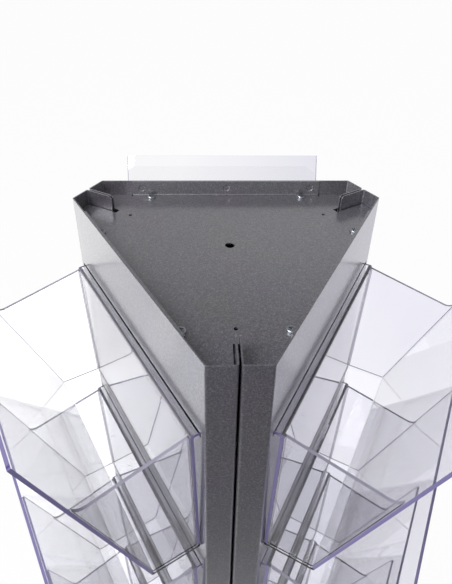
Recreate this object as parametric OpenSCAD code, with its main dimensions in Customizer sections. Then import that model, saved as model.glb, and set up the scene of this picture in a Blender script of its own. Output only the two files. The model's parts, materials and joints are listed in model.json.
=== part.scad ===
// Rotating brochure stand: a three-sided sheet-steel column that turns on a
// fixed mast and carries clear leaflet trays hooked into slots on every face.
// +Z is up, the origin lies on the floor under the mast, and one corner of the
// column points along -Y.

/* [Column] */
// Width of each long face of the column
face_w = 250; // [235:1:300]
// Width of each narrow corner face between two long faces
corner_w = 43.5; // [36:0.5:60]
// Height of the panels from bottom edge to top edge
column_h = 1400; // [1360:10:1700]
// Thickness of the panel sheet
sheet_t = 1.2; // [1:0.1:1.5]
// Inside radius of the folds in the sheet steel
fold_r = 1.2; // [0.8:0.1:2]
// Gap between neighbouring panels at the middle of a corner
seam_gap = 1.6; // [1:0.1:2.5]
// Depth of the flanges that turn inwards at the seams
return_w = 30; // [15:1:32]
// Rounding of the top corner of a return flange
return_r = 4; // [2:0.5:8]

/* [Tiers] */
// Number of trays on each face
tiers = 7; // [3:1:7]
// Depth of the highest slot below the top edge of the panels
first_slot = 72; // [65:1:100]
// Vertical distance from one tray to the next
tier_pitch = 174; // [170:1:200]
// Free height in a slot above the hook of its tray
slot_play = 1.8; // [1:0.1:3]
// Free length at each end of a slot beside the hook
slot_end = 3; // [1:0.1:4]

/* [Trays] */
// Outside width of a tray
tray_w = 232; // [200:1:232]
// Thickness of the clear sheet
clear_t = 2.5; // [2:0.1:3]
// Inside radius of the folds in the clear sheet
clear_r = 1; // [1:0.1:3]
// Outside radius of the folds in the clear sheet
clear_edge_r = 1.5; // [0.5:0.1:3]
// Height from the underside of a tray to the top of its hook
tray_drop = 144; // [120:1:150]
// Distance from the panel to the back wall at its upper fold
hook_out = 4.4; // [3:0.1:8]
// Length of the lip that hangs down behind the panel
hook_lip = 9; // [6:0.5:14]
// Distance from the panel to the back wall at its lower fold
back_rest = 0.3; // [0.3:0.1:2]
// Depth of the floor of a tray between its two lower folds
floor_w = 39.5; // [25:0.5:50]
// Lean of the front wall from upright in degrees
front_lean = 21.1; // [10:0.1:25]
// Height of the front edge above the hook
front_rise = 49; // [30:1:60]
// Distance of a side wall in from the ends of the folded sheet
side_inset = 1; // [0:0.1:2]
// Fall of a side wall's top edge from back to front
side_fall = 21; // [5:1:30]
// Radius where a side wall sweeps up into the front wall
side_sweep = 8; // [5:1:20]
// Diameter of the two round marks under the floor of a tray
floor_mark_d = 5; // [3:0.5:8]
// Distance of each mark from the middle of the tray
floor_mark_at = 19.5; // [10:0.5:40]

/* [Top and bottom plates] */
// Thickness of the top plate and the bottom plate
deck_t = 1.5; // [1.2:0.1:2]
// Depth of each plate behind the edge of the panels
deck_recess = 15; // [12:1:25]
// Length of the turned flange along each side of a plate
deck_flange_l = 190; // [160:1:200]
// Diameter of the hole on the axis of the top plate
centre_hole_d = 8.4; // [6:0.1:10]
// Diameter of the three small holes near the corners
corner_hole_d = 3.3; // [2.5:0.1:5]
// Distance of the small holes from the axis
corner_hole_at = 107; // [95:1:112]
// Diameter of the spot-weld marks on the turned flanges
weld_d = 7; // [4:0.5:8]
// Distance from the middle weld mark to each outer one
weld_at = 85.5; // [60:0.5:88]
// Depth of a spot-weld mark
weld_depth = 0.5; // [0.2:0.1:0.8]

/* [Upper bearing] */
// Thickness of the bearing pan
pan_t = 2; // [1.5:0.1:3]
// Depth of the bearing pan under the top plate
pan_depth = 30; // [26:1:45]
// Distance from the axis to each wall of the pan
pan_apothem = 60; // [50:1:66]
// Length of each wall of the pan
pan_l = 180; // [170:1:190]
// Diameter of the journal at the top of the mast
journal_d = 20; // [16:1:24]
// Running clearance of the bushes on radius
bush_play = 0.06; // [0.03:0.01:0.09]
// Wall of the upper and lower bushes
bush_wall = 3; // [2:0.5:5]
// Thickness of the flange of each bush
bush_flange = 2; // [1:0.5:3]
// Nominal diameter of the retaining bolt
bolt_d = 8; // [6:1:8]

/* [Lower bearing] */
// Number of balls in the thrust bearing
ball_count = 20; // [12:1:22]
// Diameter of a ball
ball_d = 6; // [5:0.5:7]
// Radius of the circle that the balls run on
ball_circle = 28; // [27:0.5:32]
// Width of a race ring
race_w = 12; // [10:0.5:13]
// Thickness of a race ring
race_t = 3.5; // [3:0.5:6]
// Thickness of the cage between the races
cage_t = 1.6; // [1:0.1:2]
// Radius of the hub flange under the bottom plate
hub_r = 55; // [50:1:65]
// Thickness of the hub flange
hub_t = 6; // [5:0.5:10]
// Length of the hub sleeve above the bottom plate
hub_sleeve = 20; // [12:1:40]

/* [Mast and base] */
// Outside diameter of the mast tube
mast_d = 38; // [32:1:40]
// Wall of the mast tube
mast_wall = 2.5; // [1.5:0.1:4]
// Diameter of the base plate
base_d = 500; // [500:10:650]
// Thickness of the base plate
base_t = 8; // [6:0.5:12]
// Bevel around the upper edge of the base plate
base_bevel = 1.5; // [0.5:0.1:3]
// Diameter of the disc that carries the mast
foot_d = 130; // [116:1:160]
// Thickness of the disc that carries the mast
foot_t = 8; // [6:0.5:12]
// Height of the boss on that disc
boss_h = 6; // [4:0.5:20]
// Number of rubber pads under the base plate
pad_count = 8; // [4:1:12]
// Diameter of a rubber pad
pad_d = 32; // [20:1:40]
// Thickness of a rubber pad
pad_t = 4; // [2:0.5:8]

/* [Fasteners] */
// Nominal diameter of the top plate screws
top_screw_d = 4; // [3:0.5:5]
// Distance of the top plate screws from the middle of their side
top_screw_at = 76; // [60:1:84]
// Nominal diameter of the hub screws
hub_screw_d = 5; // [4:0.5:6]
// Number of hub screws
hub_screw_count = 6; // [3:1:8]
// Nominal diameter of the base bolts
base_bolt_d = 8; // [6:0.5:10]
// Number of base bolts
base_bolt_count = 4; // [3:1:6]

/* [Hidden] */
$fn = 64;
ARC_STEPS = 5;
FACES = ["back", "right", "left"];

// Plan of the column: a triangle with its corners cut off
triangle_side = face_w + 2 * corner_w;
face_at = triangle_side / (2 * sqrt(3));
corner_at = triangle_side / sqrt(3) - corner_w * cos(30);

// Overrun of a cutter past the face that it cuts
past = 1;

// Clearances
deck_play = 0.2;
notch_play = 0.9;
screw_play = 0.25;
thread_play = 0.05;
groove_play = 0.15;
roll_gap = 0.1;
axial_gap = 0.5;
head_gap = 0.8;
screw_tip = 1;
lip_play = clear_r + 0.1;

// Heights from the floor up to the bottom plate
base_z = pad_t;
foot_z = base_z + base_t;
lower_race_z = foot_z + foot_t + boss_h;
groove_depth = 0.2 * ball_d;
groove_r = ball_d / 2 + groove_play;
ball_z = lower_race_z + race_t - groove_depth + ball_d / 2 + roll_gap;
upper_race_z = 2 * ball_z - lower_race_z - race_t;
hub_z = upper_race_z + race_t;
hub_neck = 4;
hub_flange_z = hub_z + hub_neck;
bottom_plate_z = hub_flange_z + hub_t;
column_z = bottom_plate_z - deck_recess;

// Heights at the top of the column
top_z = column_z + column_h;
top_plate_z = top_z - deck_recess;
pan_rim_z = top_plate_z - deck_t;
pan_floor_z = pan_rim_z - pan_depth;
bush_drop = 6;
plug_collar_t = 3;
collar_z = pan_floor_z - bush_drop - axial_gap;
mast_top_z = collar_z - plug_collar_t;
journal_top_z = pan_floor_z + pan_t + bush_flange + axial_gap;
washer_t = 2;

// Radii on the axis
mast_r = mast_d / 2;
journal_r = journal_d / 2;
lower_bush_r = mast_r + bush_play + bush_wall;
upper_bush_r = journal_r + bush_play + bush_wall;
sleeve_wall = 5;
hub_sleeve_r = lower_bush_r + sleeve_wall;
lower_bush_h = bottom_plate_z + deck_t + hub_sleeve - hub_z;
race_outer_r = ball_circle + race_w / 2;

// Places of fasteners
top_screw_y = face_at - sheet_t - deck_t - fold_r - top_screw_d - head_gap;
pan_rim_y = top_screw_y + 1.25 * top_screw_d;
hub_neck_r = race_outer_r + 2;
hub_screw_at = hub_neck_r + hub_screw_d + head_gap;
base_bolt_at = (race_outer_r + foot_d / 2) / 2;
pad_inset = 15;

function face_turn(face) = face == "back" ? 0 : face == "right" ? -120 : 120;
function nut_h(d) = 0.8 * d;
function slot_z(i) = top_z - first_slot - (i - 1) * tier_pitch;

// Vector helpers for outlines with round bends
function unit(v) = v / norm(v);
function left_of(v) = [-v[1], v[0]];
function cross2(a, b) = a[0] * b[1] - a[1] * b[0];
function spin2(v, a) = [v[0] * cos(a) - v[1] * sin(a), v[0] * sin(a) + v[1] * cos(a)];
function reversed(p) = [for (i = [len(p) - 1:-1:0]) p[i]];
function mitre(a, b, c) =
    let (m = left_of(unit(b - a)), n = left_of(unit(c - b)))
    (m + n) / (1 + m * n);
function turn_of(a, b, c) = atan2(cross2(unit(b - a), unit(c - b)), unit(b - a) * unit(c - b));

// Points of the arc of radius r that rounds the corner b between a and c
function arc_at(a, b, c, r) =
    let (turn = turn_of(a, b, c), s = sign(turn), centre = b + s * r * mitre(a, b, c))
    [for (k = [0:ARC_STEPS]) centre - s * r * spin2(left_of(unit(b - a)), turn * k / ARC_STEPS)];

// One side of a bent strip, with the radius to use at left and at right bends
function strip_side(p, left_r, right_r) = concat(
    [p[0]],
    [for (i = [1:len(p) - 2])
        each arc_at(p[i - 1], p[i], p[i + 1], turn_of(p[i - 1], p[i], p[i + 1]) > 0 ? left_r : right_r)],
    [p[len(p) - 1]]);

// The path moved to its right by t
function shifted(p, t) =
    let (n = len(p) - 1)
    concat(
        [p[0] - t * left_of(unit(p[1] - p[0]))],
        [for (i = [1:n - 1]) p[i] - t * mitre(p[i - 1], p[i], p[i + 1])],
        [p[n] - t * left_of(unit(p[n] - p[n - 1]))]);

// Outline of a sheet of thickness t folded along path p, with the sheet on its right,
// the radius inner inside each bend and the radius outer outside it
function strip(p, t, inner, outer) =
    concat(strip_side(p, inner, outer), reversed(strip_side(shifted(p, t), outer, inner)));

// Closed outline with a rounding radius for each corner, 0 where it is sharp
function rounded(p, radii) =
    let (n = len(p))
    [for (i = [0:n - 1]) each radii[i] > 0
        ? arc_at(p[(i + n - 1) % n], p[i], p[(i + 1) % n], radii[i])
        : [p[i]]];

// Triangle with cut corners: long sides at distance a, short sides at distance b
function cut_triangle(a, b) =
    [for (k = [0:2])
        let (e = [cos(30 + 120 * k), sin(30 + 120 * k)], h = (a - b / 2) / cos(30))
        each [b * e - h * left_of(e), b * e + h * left_of(e)]];

module three_sides() {
    for (f = FACES) rotate([0, 0, face_turn(f)]) children();
}

module three_corners() {
    for (a = [30, 150, 270]) rotate([0, 0, a]) children();
}

module around(count, radius) {
    for (i = [0:count - 1]) rotate([0, 0, i * 360 / count]) translate([radius, 0, 0]) children();
}

// Cutter for a round hole through a plate that lies from z = 0 to z = h
module bore(r, h) {
    translate([0, 0, -past]) cylinder(r = r, h = h + 2 * past);
}

module ring(outer, inner, h) {
    difference() {
        cylinder(r = outer, h = h);
        bore(inner, h);
    }
}

// Screw with a low domed head and a cross recess, head underside at z = 0
module pan_screw(d, length) {
    head_r = d;
    head_h = 0.68 * d;
    recess = 0.28 * d;
    difference() {
        rotate_extrude() polygon(rounded(
            [[0, -length], [d / 2, -length], [d / 2, 0], [head_r, 0], [head_r, head_h], [0, head_h]],
            [0, 0, 0, 0, 0.55 * head_h, 0]));
        for (a = [0, 90]) rotate([0, 0, a]) translate([-0.55 * d, -recess / 2, 0.4 * head_h])
            cube([1.1 * d, recess, head_h]);
    }
}

module hex_nut(d) {
    across_corners = 1.75 * d / cos(30);
    difference() {
        cylinder(d = across_corners, h = nut_h(d), $fn = 6);
        bore(d / 2 + thread_play, nut_h(d));
    }
}

// Base

module base_pads() {
    color("#1d1d1f") rotate([0, 0, 180 / pad_count]) around(pad_count, base_d / 2 - pad_d / 2 - pad_inset)
        cylinder(d = pad_d, h = pad_t);
}

module base_plate() {
    sink_r = base_bolt_d;
    color("#6b6b70") translate([0, 0, base_z]) difference() {
        rotate_extrude() polygon([
            [0, 0], [base_d / 2, 0], [base_d / 2, base_t - base_bevel],
            [base_d / 2 - base_bevel, base_t], [0, base_t]]);
        around(base_bolt_count, base_bolt_at) {
            bore(base_bolt_d / 2 + screw_play, base_t);
            translate([0, 0, -thread_play])
                cylinder(r1 = sink_r, r2 = base_bolt_d / 2, h = base_bolt_d / 2 + 2 * thread_play);
        }
    }
}

// Countersunk bolts up through the base plate into the mast's disc
module base_bolts() {
    sink_r = base_bolt_d - screw_play;
    color("#b9bcc2") translate([0, 0, base_z]) around(base_bolt_count, base_bolt_at) difference() {
        union() {
            cylinder(r1 = sink_r, r2 = base_bolt_d / 2, h = base_bolt_d / 2 - screw_play);
            cylinder(d = base_bolt_d, h = base_t + foot_t - screw_tip);
        }
        translate([0, 0, -past]) cylinder(d = 0.72 * base_bolt_d, h = past + 0.4 * base_bolt_d, $fn = 6);
    }
}

// Turned disc with a boss, bored for the mast and tapped for the base bolts
module mast_foot() {
    bore_r = mast_r + thread_play;
    boss_r = race_outer_r + 1;
    bevel = 1;
    color("#85868b") translate([0, 0, foot_z]) difference() {
        rotate_extrude() polygon([
            [bore_r, 0], [foot_d / 2, 0], [foot_d / 2, foot_t - bevel], [foot_d / 2 - bevel, foot_t],
            [boss_r, foot_t], [boss_r, foot_t + boss_h], [bore_r, foot_t + boss_h]]);
        around(base_bolt_count, base_bolt_at) bore(base_bolt_d / 2 + thread_play, foot_t);
    }
}

module mast_tube() {
    color("#9a9ca1") translate([0, 0, foot_z]) ring(mast_r, mast_r - mast_wall, mast_top_z - foot_z);
}

// Plug in the head of the mast, turned down to the journal and tapped on its axis
module mast_plug() {
    stem = 30;
    tapped = bolt_d * 2;
    color("#b0b2b6") translate([0, 0, mast_top_z]) rotate_extrude() polygon([
        [0, -stem], [mast_r - mast_wall - thread_play, -stem], [mast_r - mast_wall - thread_play, 0],
        [mast_r, 0], [mast_r, plug_collar_t], [journal_r, plug_collar_t],
        [journal_r, journal_top_z - mast_top_z], [bolt_d / 2 + thread_play, journal_top_z - mast_top_z],
        [bolt_d / 2 + thread_play, journal_top_z - mast_top_z - tapped],
        [0, journal_top_z - mast_top_z - tapped]]);
}

// Thrust bearing

module race() {
    difference() {
        ring(race_outer_r, ball_circle - race_w / 2, race_t);
        rotate_extrude() translate([ball_circle, race_t - groove_depth + groove_r]) circle(r = groove_r);
    }
}

module lower_race() {
    color("#c9cbcf") translate([0, 0, lower_race_z]) race();
}

module upper_race() {
    color("#c9cbcf") translate([0, 0, upper_race_z + race_t]) mirror([0, 0, 1]) race();
}

module bearing_cage() {
    rim = race_w / 2 - 1.5;
    color("#c8a24a") translate([0, 0, ball_z - cage_t / 2]) difference() {
        ring(ball_circle + rim, ball_circle - rim, cage_t);
        around(ball_count, ball_circle) bore(ball_d / 2 + groove_play, cage_t);
    }
}

module bearing_balls() {
    color("#d8dade") translate([0, 0, ball_z]) around(ball_count, ball_circle) sphere(d = ball_d, $fn = 32);
}

// Turned hub that stands on the bearing and carries the bottom plate
module hub() {
    color("#85868b") difference() {
        rotate_extrude() polygon([
            [lower_bush_r, hub_z], [hub_neck_r, hub_z], [hub_neck_r, hub_flange_z], [hub_r, hub_flange_z],
            [hub_r, bottom_plate_z], [hub_sleeve_r, bottom_plate_z],
            [hub_sleeve_r, hub_z + lower_bush_h], [lower_bush_r, hub_z + lower_bush_h]]);
        around(hub_screw_count, hub_screw_at) translate([0, 0, hub_flange_z])
            bore(hub_screw_d / 2 + screw_play, hub_t);
    }
}

// Sleeve with a flange on top, bored to run on the shaft
module flanged_bush(shaft_r, outer_r, h) {
    difference() {
        union() {
            cylinder(r = outer_r, h = h);
            translate([0, 0, h]) cylinder(r = outer_r + bush_wall, h = bush_flange);
        }
        bore(shaft_r + bush_play, h + bush_flange);
    }
}

module lower_bush() {
    color("#e8e6df") translate([0, 0, hub_z]) flanged_bush(mast_r, lower_bush_r, lower_bush_h);
}

module upper_bush() {
    color("#e8e6df") translate([0, 0, pan_floor_z - bush_drop])
        flanged_bush(journal_r, upper_bush_r, bush_drop + pan_t);
}

module hub_screws() {
    color("#b9bcc2") around(hub_screw_count, hub_screw_at) translate([0, 0, hub_flange_z])
        mirror([0, 0, 1]) pan_screw(hub_screw_d, hub_t + deck_t + nut_h(hub_screw_d) + screw_tip);
}

module hub_nuts() {
    color("#b9bcc2") around(hub_screw_count, hub_screw_at) translate([0, 0, bottom_plate_z + deck_t])
        hex_nut(hub_screw_d);
}

// Flat plate with a turned flange on each long side, notches for the return
// flanges at the corners, and the flat face at z = 0 with the flanges above it
module deck() {
    edge = face_at - sheet_t;
    fold_zone = fold_r + deck_t + 2;
    relief = 1;
    notch_end = 5;
    notch_w = seam_gap + 2 * (sheet_t + notch_play);
    weld_taper = 1.6;
    difference() {
        union() {
            difference() {
                translate([0, 0, -deck_t]) linear_extrude(deck_t)
                    polygon(cut_triangle(edge - deck_play, corner_at - sheet_t - deck_play));
                three_sides() translate([-deck_flange_l / 2 - relief, edge - fold_zone, -deck_t - past])
                    cube([deck_flange_l + 2 * relief, fold_zone + past, deck_t + 2 * past]);
            }
            three_sides() rotate([90, 0, 90]) linear_extrude(deck_flange_l, center = true) polygon(strip(
                [[edge - fold_zone - past, 0], [edge - deck_t, 0], [edge - deck_t, deck_recess]],
                deck_t, fold_r, fold_r + deck_t));
        }
        three_corners() translate([corner_at - return_w - notch_end, -notch_w / 2, -deck_t - past])
            cube([return_w + notch_end + past, notch_w, deck_t + 2 * past]);
        three_sides() for (x = [-weld_at, 0, weld_at])
            translate([x, edge - deck_t + weld_depth, deck_recess / 2]) rotate([90, 0, 0])
                cylinder(d1 = weld_d - weld_taper, d2 = weld_d + weld_taper, h = 2 * weld_depth);
    }
}

module bottom_plate() {
    color("#6b6b70") translate([0, 0, bottom_plate_z]) mirror([0, 0, 1]) difference() {
        deck();
        translate([0, 0, -deck_t]) {
            bore(hub_sleeve_r + screw_play, deck_t);
            around(hub_screw_count, hub_screw_at) bore(hub_screw_d / 2 + screw_play, deck_t);
        }
    }
}

module top_plate() {
    color("#6b6b70") translate([0, 0, top_plate_z]) difference() {
        deck();
        translate([0, 0, -deck_t]) {
            bore(centre_hole_d / 2, deck_t);
            three_corners() translate([corner_hole_at, 0, 0]) bore(corner_hole_d / 2, deck_t);
            top_screw_places() bore(top_screw_d / 2 + screw_play, deck_t);
        }
    }
}

module top_screw_places() {
    three_sides() for (x = [-top_screw_at, top_screw_at]) translate([x, top_screw_y, 0]) children();
}

// Pan with three folded walls that hangs under the top plate and holds the upper bush
module bearing_pan() {
    wall_gap = 8;
    corner_share = 1.55;
    color("#85868b") difference() {
        union() {
            translate([0, 0, pan_floor_z]) linear_extrude(pan_t)
                polygon(cut_triangle(pan_apothem - wall_gap, corner_share * (pan_apothem - wall_gap)));
            three_sides() rotate([90, 0, 90]) linear_extrude(pan_l - 2 * wall_gap, center = true)
                polygon(strip([
                    [pan_apothem - wall_gap - past, pan_floor_z + pan_t], [pan_apothem, pan_floor_z + pan_t],
                    [pan_apothem, pan_rim_z], [pan_rim_y, pan_rim_z]], pan_t, fold_r, fold_r + pan_t));
        }
        translate([0, 0, pan_floor_z]) bore(upper_bush_r, pan_t);
        translate([0, 0, pan_rim_z - pan_t]) top_screw_places() bore(top_screw_d / 2 + screw_play, pan_t);
    }
}

module top_screws() {
    color("#cfd2d8") translate([0, 0, top_plate_z]) top_screw_places()
        pan_screw(top_screw_d, deck_t + pan_t + nut_h(top_screw_d) + screw_tip);
}

module top_nuts() {
    color("#b9bcc2") translate([0, 0, pan_rim_z - pan_t - nut_h(top_screw_d)]) top_screw_places()
        hex_nut(top_screw_d);
}

module retaining_washer() {
    color("#b9bcc2") translate([0, 0, journal_top_z])
        ring(upper_bush_r + bush_wall, bolt_d / 2 + screw_play, washer_t);
}

// Socket-head bolt under the centre hole, which lets a hex key through
module retaining_bolt() {
    bolt_l = 2 * bolt_d;
    head_d = 1.6 * bolt_d;
    key_w = 0.75 * bolt_d;
    color("#cfd2d8") translate([0, 0, journal_top_z + washer_t]) difference() {
        union() {
            cylinder(d = head_d, h = bolt_d);
            translate([0, 0, -bolt_l]) cylinder(d = bolt_d, h = bolt_l + past);
        }
        translate([0, 0, bolt_d / 2]) cylinder(d = key_w / cos(30), h = bolt_d, $fn = 6);
    }
}

// Panel of the column in the place of the back face: long face, two bends to
// half a corner face each, and two return flanges that meet the next panels
module panel() {
    corner = [cos(30), sin(30)];
    inner_end = corner * (corner_at - return_w) + left_of(corner) * seam_gap / 2;
    outer_end = corner * corner_at + left_of(corner) * seam_gap / 2;
    slot_w = tray_w + 2 * slot_end;
    slot_h = clear_t + slot_play;
    color("#8d8e93") difference() {
        translate([0, 0, column_z]) linear_extrude(column_h) polygon(strip([
            [-inner_end[0], inner_end[1]], [-outer_end[0], outer_end[1]], [-face_w / 2, face_at],
            [face_w / 2, face_at], outer_end, inner_end], sheet_t, fold_r, fold_r + sheet_t));
        for (i = [1:tiers]) translate([-slot_w / 2, face_at - sheet_t - past, slot_z(i) - clear_t])
            cube([slot_w, sheet_t + 2 * past, slot_h]);
        for (side = [0, 1]) mirror([side, 0, 0]) rotate([0, 0, 30])
            translate([corner_at - return_w, 0, top_z]) rotate([-90, 0, 0]) return_rounding();
    }
}

// Cutter that rounds the upper inner corner of a return flange
module return_rounding() {
    depth = seam_gap + sheet_t;
    difference() {
        translate([-past, -past, 0]) cube([return_r + past, return_r + past, depth]);
        translate([return_r, return_r, 0]) bore(return_r, depth);
    }
}

// Clear tray in the place of the back face, with z = 0 on top of its hook
module tray() {
    floor_mark_depth = 0.4;
    inside_z = clear_t - tray_drop;
    lip_y = -sheet_t - lip_play - clear_t;
    back_y = back_rest + clear_t;
    front_y = back_y + floor_w;
    rise = front_rise - inside_z;
    path = [
        [lip_y, -hook_lip], [lip_y, 0], [hook_out + clear_t, 0], [back_y, inside_z],
        [front_y, inside_z], [front_y + rise * tan(front_lean), front_rise]];
    middle = shifted(path, clear_t / 2);
    front = unit(path[5] - path[4]);
    edge_y = front_y + (-side_fall - inside_z) * tan(front_lean);
    sweep_end = [edge_y, -side_fall] + front * 2 * side_sweep;
    top_back = [hook_out + clear_t / 2, -clear_t / 2];
    wall = rounded(
        [top_back, [edge_y, -side_fall], sweep_end, sweep_end + clear_t / 2 * [front[1], -front[0]],
         middle[4], middle[3]],
        [0, side_sweep, 0, 0, clear_r + clear_t / 2, clear_r + clear_t / 2]);
    difference() {
        rotate([90, 0, 90]) {
            linear_extrude(tray_w, center = true) polygon(strip(path, clear_t, clear_r, clear_edge_r));
            for (x = [side_inset - tray_w / 2, tray_w / 2 - side_inset - clear_t])
                translate([0, 0, x]) linear_extrude(clear_t) polygon(wall);
        }
        for (x = [-floor_mark_at, floor_mark_at])
            translate([x, back_y + floor_w / 2, floor_mark_depth - past - tray_drop])
                cylinder(d = floor_mark_d, h = past);
    }
}

module tray_at(face, i) {
    color("#d9d8ee", 0.45) rotate([0, 0, face_turn(face)]) translate([0, face_at, slot_z(i)]) tray();
}

base_pads();
base_plate();
base_bolts();
mast_foot();
mast_tube();
mast_plug();
lower_race();
bearing_cage();
bearing_balls();
upper_race();
hub();
lower_bush();
hub_screws();
hub_nuts();
bottom_plate();
panel();  // panel_back
rotate([0, 0, face_turn("right")]) panel();  // panel_right
rotate([0, 0, face_turn("left")]) panel();  // panel_left
top_plate();
bearing_pan();
upper_bush();
retaining_washer();
retaining_bolt();
top_screws();
top_nuts();
for (f = FACES) for (i = [1:tiers]) tray_at(f, i);
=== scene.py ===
import json
import math

import bpy
from mathutils import Matrix, Vector


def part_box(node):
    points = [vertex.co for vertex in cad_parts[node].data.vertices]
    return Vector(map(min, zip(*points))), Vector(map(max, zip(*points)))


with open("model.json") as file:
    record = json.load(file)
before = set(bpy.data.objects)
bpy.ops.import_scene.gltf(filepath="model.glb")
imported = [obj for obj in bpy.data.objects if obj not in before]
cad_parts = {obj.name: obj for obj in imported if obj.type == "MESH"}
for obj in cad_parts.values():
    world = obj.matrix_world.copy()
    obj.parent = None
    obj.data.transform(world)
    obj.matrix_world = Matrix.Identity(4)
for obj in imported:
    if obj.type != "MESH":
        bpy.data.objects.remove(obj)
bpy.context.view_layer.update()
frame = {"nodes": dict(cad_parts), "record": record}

MM = 0.001
FAR = 1.0

# Places taken from the frame
panel_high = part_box("panel_back")[1]
tray_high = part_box("tray_back_1")[1]
TOP_Z = panel_high.z
FACE_AT = panel_high.y
TRAY_HALF = tray_high.x
TIER_PITCH = tray_high.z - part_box("tray_back_2")[1].z
TIERS = sum(name.startswith("tray_back_") for name in frame["nodes"])
FACE_TURNS = {"back": 0, "right": -120, "left": 120}

# A tray, with its heights counted from its slot and its distances out from the face of its panel
FRONT_RISE = 49 * MM
SLOT_Z = tray_high.z - FRONT_RISE
TRAY_DROP = 145 * MM
FLOOR_TOP = -141 * MM
FLOOR_FRONT = 44 * MM
BACK_OUT = 6.9 * MM
BACK_LEAN = 4.1 / 141.5
HOOK_FOLD = (3.6 * MM, 8 * MM)
HOOK_LOW = -3.7 * MM
SEAM = (-0.3 * MM, 1.6 * MM)
SEAM_MIDDLE = 0.7 * MM
CUT_SKIN = 0.3 * MM
SIDE_TOP = (-26 * MM, 15 * MM)
SIDE_INSET = (3.6 * MM, 0.9 * MM)
SIDE_MIDDLE = 2.25 * MM
FRONT_TOP = (45 * MM - TIER_PITCH, 50 * MM - TIER_PITCH)


# Small tools for materials

def srgb(code):
    """Linear colour from an sRGB hex code."""
    parts = [int(code[i:i + 2], 16) / 255 for i in (1, 3, 5)]
    return [p / 12.92 if p <= 0.04045 else ((p + 0.055) / 1.055) ** 2.4 for p in parts] + [1.0]


def add(tree, kind, inputs=(), **settings):
    """A node of that kind with its settings. Its inputs are given by name or in their order, each as a value
    or as what it is linked from: a socket, or a node, whose first output in use is taken."""
    made = tree.nodes.new(kind)
    for name, value in settings.items():
        setattr(made, name, value)
    named = inputs if isinstance(inputs, dict) else dict(enumerate(inputs))
    for name, value in named.items():
        if isinstance(value, bpy.types.Node):
            value = next(socket for socket in value.outputs if socket.enabled)
        if isinstance(value, bpy.types.NodeSocket):
            tree.links.new(value, made.inputs[name])
        else:
            made.inputs[name].default_value = value
    return made


def new_material(name):
    """An empty material and its node tree."""
    material = bpy.data.materials.new(name)
    material.use_nodes = True
    material.node_tree.nodes.clear()
    return material, material.node_tree


def per_metre(size_mm):
    """Texture scale at which one feature of the pattern is about size_mm across."""
    return 1 / (size_mm * MM)


def all_of(tree, *masks):
    """Mask that is 1 where every one of the masks is 1. Softer masks are multiplied."""
    joined = masks[0]
    for mask in masks[1:]:
        joined = add(tree, "ShaderNodeMath", (joined, mask), operation="MULTIPLY")
    return joined


def any_of(tree, *masks):
    """Mask that is as strong as the strongest of the masks."""
    joined = masks[0]
    for mask in masks[1:]:
        joined = add(tree, "ShaderNodeMath", (joined, mask), operation="MAXIMUM")
    return joined


def within(tree, value, low, high):
    """Mask that is 1 where value lies between low and high, else 0."""
    over = add(tree, "ShaderNodeMath", (value, low), operation="GREATER_THAN")
    under = add(tree, "ShaderNodeMath", (value, high), operation="LESS_THAN")
    return all_of(tree, over, under)


def outside(tree, mask):
    """The mask turned round."""
    return add(tree, "ShaderNodeMath", (1.0, mask), operation="SUBTRACT")


# Materials

def powder_coated_steel():
    """Polyester powder coat with metal flake, sprayed and baked on sheet steel.
    It is mid grey face on, with a fine pebble and sparkle, and turns pale and glossy at grazing angles."""
    material, tree = new_material("grey_metallic_powder_coat")
    place = add(tree, "ShaderNodeTexCoord").outputs["Object"]
    drift = add(tree, "ShaderNodeTexNoise", {"Vector": place, "Scale": per_metre(60), "Detail": 2.0})
    pebble = add(tree, "ShaderNodeTexNoise", {
        "Vector": place, "Scale": per_metre(1.6), "Detail": 3.0, "Roughness": 0.7})

    # Real flakes are far under 0.1 mm. They are drawn at 0.6 mm so that they show.
    flake = add(tree, "ShaderNodeTexVoronoi", {"Vector": place, "Scale": per_metre(0.6)})
    chance = add(tree, "ShaderNodeSeparateColor", {"Color": flake.outputs["Color"]})
    bright = add(tree, "ShaderNodeMath", (chance, 0.85), operation="GREATER_THAN")
    sparkle = add(tree, "ShaderNodeMath", (bright, 0.36), operation="MULTIPLY")

    tone = add(tree, "ShaderNodeValToRGB", {"Fac": pebble})
    dark, light = tone.color_ramp.elements
    dark.position = 0.32
    dark.color = srgb("#5d5c63")
    light.position = 0.68
    light.color = srgb("#79777f")
    shade = add(tree, "ShaderNodeMix", {"Factor": 0.1, "A": tone, "B": drift.outputs["Color"]},
                data_type="RGBA", blend_type="SOFT_LIGHT")
    speck = add(tree, "ShaderNodeMix", {"Factor": sparkle, "A": shade, "B": srgb("#a9a9b0")},
                data_type="RGBA")
    gloss = add(tree, "ShaderNodeMapRange", {"Value": pebble, "To Min": 0.34, "To Max": 0.44})
    soft_edge = add(tree, "ShaderNodeBevel", {"Radius": 0.5 * MM}, samples=6)
    bump = add(tree, "ShaderNodeBump", {
        "Height": pebble, "Strength": 0.2, "Distance": 0.05 * MM, "Normal": soft_edge})
    surface = add(tree, "ShaderNodeBsdfPrincipled", {
        "Base Color": speck, "Metallic": 0.6, "Roughness": gloss,
        "Coat Weight": 1.0, "Coat Roughness": 0.18, "Coat IOR": 1.85, "Normal": bump})
    add(tree, "ShaderNodeOutputMaterial", {"Surface": surface})
    return material


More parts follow.
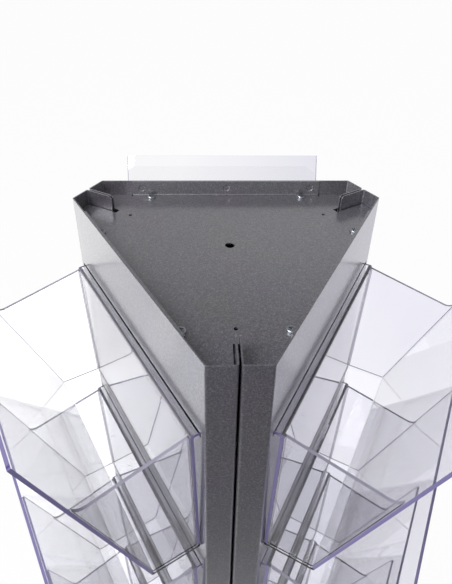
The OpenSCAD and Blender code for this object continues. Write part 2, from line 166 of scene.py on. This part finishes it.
def clear_sheet(name, turn):
    """Clear acrylic sheet, folded and bonded, with polished edges.
    It is water clear through the sheet and violet where light runs out of a cut edge, lighter toward the
    rims of that edge as a painted highlight, and paler on top of the side walls. It is greyer along the side
    walls where they meet the leaning back wall, and the fold of the hook is painted grey as shade, for the
    darker panel seen through it."""
    material, tree = new_material(name)

    # Place on the tray: across from its middle, out from the panel, and height from the slot
    coords = add(tree, "ShaderNodeTexCoord")
    turned = {}
    for kind in ("Object", "Normal"):
        vector = add(tree, "ShaderNodeVectorRotate", {
            "Vector": coords.outputs[kind], "Angle": -math.radians(turn)}, rotation_type="Z_AXIS")
        turned[kind] = add(tree, "ShaderNodeSeparateXYZ", {"Vector": vector})
    place = turned["Object"].outputs
    across = add(tree, "ShaderNodeMath", (place["X"],), operation="ABSOLUTE")
    out = add(tree, "ShaderNodeMath", (place["Y"], FACE_AT), operation="SUBTRACT")
    lowest = SLOT_Z - (TIERS - 1) * TIER_PITCH - TRAY_DROP
    level = add(tree, "ShaderNodeMath", (place["Z"], lowest), operation="SUBTRACT")
    level = add(tree, "ShaderNodeMath", (level, TIER_PITCH), operation="FLOORED_MODULO")
    height = add(tree, "ShaderNodeMath", (level, TRAY_DROP), operation="SUBTRACT")
    upward = turned["Normal"].outputs["Z"]
    sideways = add(tree, "ShaderNodeMath", (turned["Normal"].outputs["X"],), operation="ABSOLUTE")

    # Cut edges: the ends of the folded strip, the tops of the side walls and the top of the front wall
    floor_end = all_of(tree, within(tree, height, -FAR, FLOOR_TOP), within(tree, out, -FAR, FLOOR_FRONT))
    strip_end = all_of(tree, within(tree, across, TRAY_HALF - CUT_SKIN, FAR), outside(tree, floor_end))
    side_top = all_of(
        tree,
        within(tree, across, TRAY_HALF - SIDE_INSET[0], TRAY_HALF - SIDE_INSET[1]),
        within(tree, height, *SIDE_TOP),
        within(tree, out, HOOK_FOLD[1], FAR),
        within(tree, upward, 0.37, 2),
        within(tree, sideways, -1, 0.5))
    front_top = all_of(tree, within(tree, upward, 0.8, 2), within(tree, height, *FRONT_TOP))
    edge = any_of(tree, strip_end, side_top, front_top)

    # Greyed places: the fold of the hook, painted grey as shade for the darker panel seen through it, and
    # the seam beside the leaning back wall
    fold = all_of(tree, within(tree, out, *HOOK_FOLD), within(tree, height, HOOK_LOW, FAR))
    back_wall = add(tree, "ShaderNodeMath", (height, BACK_LEAN, BACK_OUT), operation="MULTIPLY_ADD")
    off_back = add(tree, "ShaderNodeMath", (out, back_wall), operation="SUBTRACT")
    off_seam = add(tree, "ShaderNodeMath", (off_back, SEAM_MIDDLE), operation="SUBTRACT")
    off_seam = add(tree, "ShaderNodeMath", (off_seam,), operation="ABSOLUTE")
    seam_side = add(tree, "ShaderNodeMapRange", {
        "Value": off_seam, "From Min": 0.2 * MM, "From Max": 0.5 * MM, "To Min": 0.4, "To Max": 1.0})
    seam = all_of(
        tree,
        within(tree, off_back, *SEAM),
        seam_side,
        within(tree, height, FLOOR_TOP, HOOK_LOW),
        within(tree, sideways, 0.5, 2))
    fold_shade_and_seam = all_of(tree, any_of(tree, fold, seam), outside(tree, edge))

    # Colour, haze and clearness
    # Cut edges are dark violet in the middle of their thickness and lighter toward both rims, a painted
    # highlight along the polished edges
    off_middle = add(tree, "ShaderNodeMath", (across, TRAY_HALF - SIDE_MIDDLE), operation="SUBTRACT")
    off_middle = add(tree, "ShaderNodeMath", (off_middle,), operation="ABSOLUTE")
    painted_highlight_rim = add(tree, "ShaderNodeMapRange", {
        "Value": off_middle, "From Min": 0.7 * MM, "From Max": 1.25 * MM})
    violet = add(tree, "ShaderNodeMix", {"Factor": painted_highlight_rim, "A": srgb("#5b5192"), "B": srgb("#8b84b3")},
                 data_type="RGBA")
    paler = add(tree, "ShaderNodeMath", (side_top, 0.7), operation="MULTIPLY")
    violet = add(tree, "ShaderNodeMix", {"Factor": paler, "A": violet, "B": srgb("#c2c1ca")},
                 data_type="RGBA")
    # The sheet turns grey as painted shade in the fold of the hook, and grey along the seam beside the back
    # wall
    sheet = add(tree, "ShaderNodeMix", {"Factor": fold_shade_and_seam, "A": srgb("#fafafd"), "B": srgb("#b4b2bd")},
                data_type="RGBA")
    tint = add(tree, "ShaderNodeMix", {"Factor": edge, "A": sheet, "B": violet}, data_type="RGBA")
    haze = add(tree, "ShaderNodeTexNoise", {
        "Vector": coords.outputs["Object"], "Scale": per_metre(45), "Detail": 3.0})
    rough = add(tree, "ShaderNodeMapRange", {"Value": haze, "To Min": 0.0, "To Max": 0.02})
    dulled = add(tree, "ShaderNodeMath", (fold_shade_and_seam, 0.35, edge), operation="MULTIPLY_ADD")
    clear = add(tree, "ShaderNodeMapRange", {"Value": dulled, "To Min": 1.0, "To Max": 0.35})
    surface = add(tree, "ShaderNodeBsdfPrincipled", {
        "Base Color": tint, "Roughness": rough, "IOR": 1.49, "Transmission Weight": clear})
    add(tree, "ShaderNodeOutputMaterial", {"Surface": surface})
    return material


def turned_steel():
    """Mild steel turned on a lathe and oiled. Fine rings round the axis give it a satin streak."""
    material, tree = new_material("turned_mild_steel")
    place = add(tree, "ShaderNodeTexCoord").outputs["Object"]

    # Real tool marks are about 0.2 mm apart. They are drawn much coarser so that they show.
    rings = add(tree, "ShaderNodeTexWave", {
        "Vector": place, "Scale": per_metre(12), "Distortion": 1.0, "Detail": 2.0},
        wave_type="RINGS", rings_direction="Z")
    stain = add(tree, "ShaderNodeTexNoise", {"Vector": place, "Scale": per_metre(25), "Detail": 4.0})
    colour = add(tree, "ShaderNodeMix", {"Factor": stain, "A": srgb("#8b8c8f"), "B": srgb("#a5a6a9")},
                 data_type="RGBA")
    ring = rings.outputs["Fac"]
    gloss = add(tree, "ShaderNodeMapRange", {"Value": ring, "To Min": 0.28, "To Max": 0.42})
    bump = add(tree, "ShaderNodeBump", {"Height": ring, "Strength": 0.1, "Distance": 0.05 * MM})
    surface = add(tree, "ShaderNodeBsdfPrincipled", {
        "Base Color": colour, "Metallic": 1.0, "Roughness": gloss, "Normal": bump})
    add(tree, "ShaderNodeOutputMaterial", {"Surface": surface})
    return material


def bright_metal(name, dark, light, spot_mm, low, high):
    """Plated, ground or stamped metal. It shines evenly, with a faint mottling from dark to light and a
    roughness from low to high."""
    material, tree = new_material(name)
    place = add(tree, "ShaderNodeTexCoord").outputs["Object"]
    mottle = add(tree, "ShaderNodeTexNoise", {"Vector": place, "Scale": per_metre(spot_mm), "Detail": 4.0})
    colour = add(tree, "ShaderNodeMix", {"Factor": mottle, "A": srgb(dark), "B": srgb(light)},
                 data_type="RGBA")
    gloss = add(tree, "ShaderNodeMapRange", {"Value": mottle, "To Min": low, "To Max": high})
    surface = add(tree, "ShaderNodeBsdfPrincipled", {
        "Base Color": colour, "Metallic": 1.0, "Roughness": gloss})
    add(tree, "ShaderNodeOutputMaterial", {"Surface": surface})
    return material


def acetal():
    """Natural acetal, machined: milky white with a waxy sheen."""
    material, tree = new_material("natural_acetal")
    place = add(tree, "ShaderNodeTexCoord").outputs["Object"]
    cloud = add(tree, "ShaderNodeTexNoise", {"Vector": place, "Scale": per_metre(8), "Detail": 3.0})
    colour = add(tree, "ShaderNodeMix", {"Factor": cloud, "A": srgb("#dfddd4"), "B": srgb("#efede6")},
                 data_type="RGBA")
    surface = add(tree, "ShaderNodeBsdfPrincipled", {"Base Color": colour, "Roughness": 0.38, "IOR": 1.48})
    add(tree, "ShaderNodeOutputMaterial", {"Surface": surface})
    return material


def pad_rubber():
    """Moulded black rubber with a dull, slightly dusty skin."""
    material, tree = new_material("moulded_black_rubber")
    place = add(tree, "ShaderNodeTexCoord").outputs["Object"]
    dust = add(tree, "ShaderNodeTexNoise", {"Vector": place, "Scale": per_metre(4), "Detail": 5.0})
    colour = add(tree, "ShaderNodeMix", {"Factor": dust, "A": srgb("#161617"), "B": srgb("#2b2b2c")},
                 data_type="RGBA")
    bump = add(tree, "ShaderNodeBump", {"Height": dust, "Strength": 0.3, "Distance": 0.1 * MM})
    surface = add(tree, "ShaderNodeBsdfPrincipled", {
        "Base Color": colour, "Roughness": 0.75, "Normal": bump})
    add(tree, "ShaderNodeOutputMaterial", {"Surface": surface})
    return material


finishes = {
    "powder_coat": powder_coated_steel(),
    "turned_steel": turned_steel(),
    # Hardened and ground: almost a mirror, cool and pale
    "bearing_steel": bright_metal("ground_bearing_steel", "#b4b6ba", "#cfd0d3", 6, 0.12, 0.22),
    # Stamped from sheet: warm yellow with a soft shine
    "cage_brass": bright_metal("stamped_brass", "#a98447", "#cba861", 5, 0.25, 0.38),
    # Barrel plated: blue-white and finely mottled
    "zinc": bright_metal("bright_zinc_plate", "#96999f", "#b9bdc4", 1.5, 0.3, 0.46),
    "bush_plastic": acetal(),
    "pad_rubber": pad_rubber(),
}
clear_sheets = {face: clear_sheet("clear_acrylic_" + face, turn) for face, turn in FACE_TURNS.items()}

for entry in frame["record"]["subparts"]:
    piece = frame["nodes"][entry["node"]]
    finish = finishes.get(entry["material_slot"])
    if finish is None:
        finish = clear_sheets[entry["node"].split("_")[1]]
    for used in piece.material_slots:
        used.material = finish


# Floor

FLOOR_SIZE = 40
CAMERA_WHITE = 0.96


def white_floor():
    """Matt white studio floor that keeps a soft shadow. It is white to the camera, through the clear sheet
    and in mirrors, a little violet toward the right, and its own strength is never above 1.
    In mirrors alone it is darker in front of the stand, and a little darker behind it on the left."""
    material, tree = new_material("matt_white_floor")
    place = add(tree, "ShaderNodeTexCoord").outputs["Object"]
    grain = add(tree, "ShaderNodeTexNoise", {"Vector": place, "Scale": per_metre(30), "Detail": 3.0})
    paint = add(tree, "ShaderNodeMix", {"Factor": grain, "A": srgb("#ececec"), "B": srgb("#f4f4f4")},
                data_type="RGBA")
    matt = add(tree, "ShaderNodeBsdfDiffuse", {"Color": paint})

    path = add(tree, "ShaderNodeLightPath").outputs
    glossy = path["Is Glossy Ray"]
    mirrored = all_of(tree, glossy, within(tree, path["Glossy Depth"], 0.5, 1000))
    xyz = add(tree, "ShaderNodeSeparateXYZ", {"Vector": place}).outputs
    dark_front = add(tree, "ShaderNodeMapRange", {
        "Value": xyz["Y"], "From Min": -0.1, "From Max": -0.9, "To Max": 0.95})
    dark_left = add(tree, "ShaderNodeMapRange", {
        "Value": xyz["Y"], "From Min": 0.8125, "From Max": 1.0, "To Max": 0.18})
    far_back = add(tree, "ShaderNodeMapRange", {
        "Value": xyz["Y"], "From Min": 1.4, "From Max": 1.9, "To Max": 0.63})
    far_left = add(tree, "ShaderNodeMapRange", {"Value": xyz["X"], "From Min": -1.1, "From Max": -1.4})
    corner = all_of(tree, far_back, far_left)
    dark_left = add(tree, "ShaderNodeMath", (dark_left, corner), operation="SUBTRACT", use_clamp=True)
    dark_left = all_of(tree, dark_left, within(tree, xyz["X"], -FLOOR_SIZE, 0.2))
    darker = all_of(tree, mirrored, any_of(tree, dark_front, dark_left))

    to_right = add(tree, "ShaderNodeMapRange", {"Value": xyz["X"], "From Min": -0.2, "From Max": 0.9})
    pale = add(tree, "ShaderNodeMix", {"Factor": to_right, "A": srgb("#ffffff"), "B": srgb("#e9e8ef")},
               data_type="RGBA")
    glow = add(tree, "ShaderNodeEmission", {"Color": pale, "Strength": outside(tree, darker)})
    white = add(tree, "ShaderNodeEmission", {"Color": srgb("#ffffff"), "Strength": 1.0})
    to_camera = all_of(tree, path["Is Camera Ray"], CAMERA_WHITE)
    shaded = add(tree, "ShaderNodeMixShader", (to_camera, matt, white))
    seen = any_of(tree, glossy, path["Is Transmission Ray"])
    both = add(tree, "ShaderNodeMixShader", (seen, shaded, glow))
    add(tree, "ShaderNodeOutputMaterial", {"Surface": both})
    return material


bpy.ops.mesh.primitive_plane_add(size=FLOOR_SIZE, location=(0, 0, 0))
floor = bpy.context.object
floor.name = "studio_floor"
floor.data.materials.append(white_floor())


# Light

def softbox(name, place, aim, size, radiance, colour="#ffffff"):
    """A square lamp at place that faces aim, size metres wide. With a radiance of 1 it looks as bright as a
    white surface."""
    data = bpy.data.lights.new(name, "AREA")
    data.color = srgb(colour)[:3]
    data.size = size
    data.energy = radiance * math.pi * size ** 2
    lamp = bpy.data.objects.new(name, data)
    bpy.context.scene.collection.objects.link(lamp)
    turn = (Vector(aim) - Vector(place)).to_track_quat("-Z", "Y").to_matrix().to_4x4()
    lamp.matrix_world = Matrix.Translation(place) @ turn


# Two faint tables lie just above the floor. The two lamps stand off to the left, so that the folds of the
# deck don't mirror them as bright lines.
column_top = (0, 0, TOP_Z)
softbox("left_light_table", (-1.5, 1.1, 0.01), (-1.5, 1.1, 1), 2.6, 0.45)
softbox("right_light_table", (1.5, 1.1, 0.01), (1.5, 1.1, 1), 2.6, 0.16, "#f1f0f7")
softbox("top_softbox", (-1.6, -0.9, 3.4), column_top, 1.8, 8.0)
softbox("front_softbox", (-1.2, -2.6, 1.9), column_top, 1.4, 5.0)

WALL_LEVEL = 0.62
CEILING_LEVEL = 0.1
AIR_LIGHT = 0.4


def studio_air():
    """Pale surround: white to the camera and through the clear sheet. Where it is mirrored it darkens
    overhead and a little toward the left."""
    world = bpy.data.worlds.new("studio")
    world.use_nodes = True
    tree = world.node_tree
    tree.nodes.clear()
    direction = add(tree, "ShaderNodeTexCoord").outputs["Generated"]
    xyz = add(tree, "ShaderNodeSeparateXYZ", {"Vector": direction}).outputs
    wall = add(tree, "ShaderNodeMapRange", {
        "Value": xyz["Z"], "From Min": 0.1, "From Max": 0.56, "To Min": 1.0, "To Max": WALL_LEVEL})
    ceiling = add(tree, "ShaderNodeMapRange", {
        "Value": xyz["Z"], "From Min": 0.56, "From Max": 0.7, "To Min": WALL_LEVEL, "To Max": CEILING_LEVEL})
    to_right = add(tree, "ShaderNodeMapRange", {
        "Value": xyz["X"], "From Min": -0.2, "From Max": 0.1, "To Min": 0.8, "To Max": 1.0})
    overhead = add(tree, "ShaderNodeMath", (wall, ceiling), operation="MINIMUM")
    mirrored = all_of(tree, overhead, to_right)
    path = add(tree, "ShaderNodeLightPath").outputs
    level = add(tree, "ShaderNodeMix", {"Factor": path["Is Glossy Ray"], "A": AIR_LIGHT, "B": mirrored})
    seen = any_of(tree, path["Is Camera Ray"], path["Is Transmission Ray"])
    level = add(tree, "ShaderNodeMix", {"Factor": seen, "A": level, "B": 1.0})
    air = add(tree, "ShaderNodeBackground", {"Color": srgb("#ffffff"), "Strength": level})
    add(tree, "ShaderNodeOutputWorld", {"Surface": air})
    return world


bpy.context.scene.world = studio_air()


# Camera, fitted to the photograph: its focal length and optical centre are in the photograph's pixels

PHOTO_W = 452
PHOTO_H = 584
FOCAL_PX = 527.85
OPTICAL_CENTRE = (226.48, 232.99)
YAW = 0.0454
PITCH_DOWN = 0.5551
ROLL = 0.0198
CAMERA_PLACE = Vector((-0.0207, -0.3859, TOP_Z + 0.2372))

level_ahead = Vector((math.sin(YAW), math.cos(YAW), 0))
forward = level_ahead * math.cos(PITCH_DOWN) - Vector((0, 0, math.sin(PITCH_DOWN)))
level_right = Vector((math.cos(YAW), -math.sin(YAW), 0))
level_up = level_right.cross(forward)
right = level_right * math.cos(ROLL) + level_up * math.sin(ROLL)
up = level_up * math.cos(ROLL) - level_right * math.sin(ROLL)

lens = bpy.data.cameras.new("camera")
lens.sensor_fit = "AUTO"
lens.sensor_width = 36
lens.lens = FOCAL_PX / PHOTO_H * lens.sensor_width
lens.shift_x = (PHOTO_W / 2 - OPTICAL_CENTRE[0]) / PHOTO_H
lens.shift_y = (OPTICAL_CENTRE[1] - PHOTO_H / 2) / PHOTO_H
lens.clip_start = 0.01
lens.clip_end = 100
camera = bpy.data.objects.new("camera", lens)
bpy.context.scene.collection.objects.link(camera)
turn = Matrix((right, up, -forward)).transposed().to_4x4()
camera.matrix_world = Matrix.Translation(CAMERA_PLACE) @ turn
bpy.context.scene.camera = camera
bpy.context.scene.view_settings.view_transform = "Standard"
